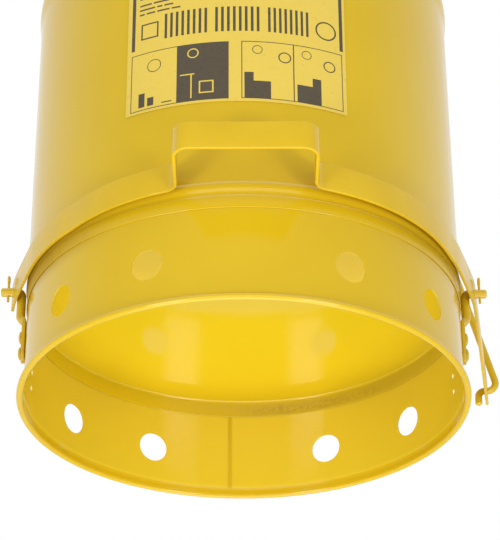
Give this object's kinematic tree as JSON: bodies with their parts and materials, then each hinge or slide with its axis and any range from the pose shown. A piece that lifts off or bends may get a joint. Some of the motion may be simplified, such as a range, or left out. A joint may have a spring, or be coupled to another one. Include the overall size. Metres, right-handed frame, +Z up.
{
  "type": "oily waste can",
  "caption": "Round sheet steel can on a vented base ring, with a foot lever and push rod that open a hinged, self-closing lid.",
  "frame": {"origin": "middle of the can's box, on the floor under it", "axes": "+Z up; -Y towards the foot lever's tab; +X towards the push rod"},
  "size_m": [0.481, 0.4986, 0.514],
  "materials": {
    "can_paint": "glossy yellow powder coat",
    "pan_paint": "glossy yellow powder coat",
    "ring_paint": "glossy yellow powder coat",
    "lid_paint": "glossy yellow powder coat",
    "hardware_paint": "satin yellow paint with rubbed edges",
    "plated_steel": "zinc plated",
    "label_film": "pale yellow printed film"
  },
  "bodies": {
    "can": {"body_shell": "can_paint", "bottom_pan": "pan_paint", "base_ring": "ring_paint", "hinge_bracket": "hardware_paint", "pivot_stud_left": "hardware_paint", "pivot_stud_right": "hardware_paint", "pivot_cotter_left": "hardware_paint", "pivot_cotter_right": "hardware_paint", "stud_rivet_left_upper": "hardware_paint", "stud_rivet_left_lower": "hardware_paint", "stud_rivet_right_upper": "hardware_paint", "stud_rivet_right_lower": "hardware_paint", "bracket_rivet_left_upper": "hardware_paint", "bracket_rivet_right_upper": "hardware_paint", "bracket_rivet_left_lower": "hardware_paint", "bracket_rivet_right_lower": "hardware_paint", "hinge_pin": "plated_steel", "hinge_pin_cotter": "plated_steel", "label_film": "label_film"},
    "foot_lever": {"foot_lever": "hardware_paint"},
    "push_rod": {"push_rod": "hardware_paint", "rod_cotter": "plated_steel"},
    "lid": {"lid_shell": "lid_paint", "lid_strap": "hardware_paint", "lid_lug": "hardware_paint", "strap_rivet_left": "hardware_paint", "strap_rivet_right": "hardware_paint", "lug_rivet_inner": "hardware_paint", "lug_rivet_outer": "hardware_paint"}
  },
  "joints": [
    {"name": "lever_pivot", "type": "hinge", "parent": "can", "child": "foot_lever", "pos_m": [-0.01815, 0.01362, 0.1155], "axis": [0.9999, 0.0133, 0], "range_deg": [0, 12]},
    {"name": "rod_swivel", "type": "hinge", "parent": "foot_lever", "child": "push_rod", "pos_m": [0.22485, 0.21623, 0.1155], "axis": [1, 0, 0], "range_deg": [-12, 0]},
    {"name": "lid_hinge", "type": "hinge", "parent": "can", "child": "lid", "pos_m": [-0.01815, 0.22923, 0.474], "axis": [-1, 0, 0], "range_deg": [0, 60]}
  ],
  "couplings": [
    {"joint": "rod_swivel", "follows": "lever_pivot", "ratio": -1},
    {"joint": "lid_hinge", "follows": "lever_pivot", "ratio": 5}
  ]
}
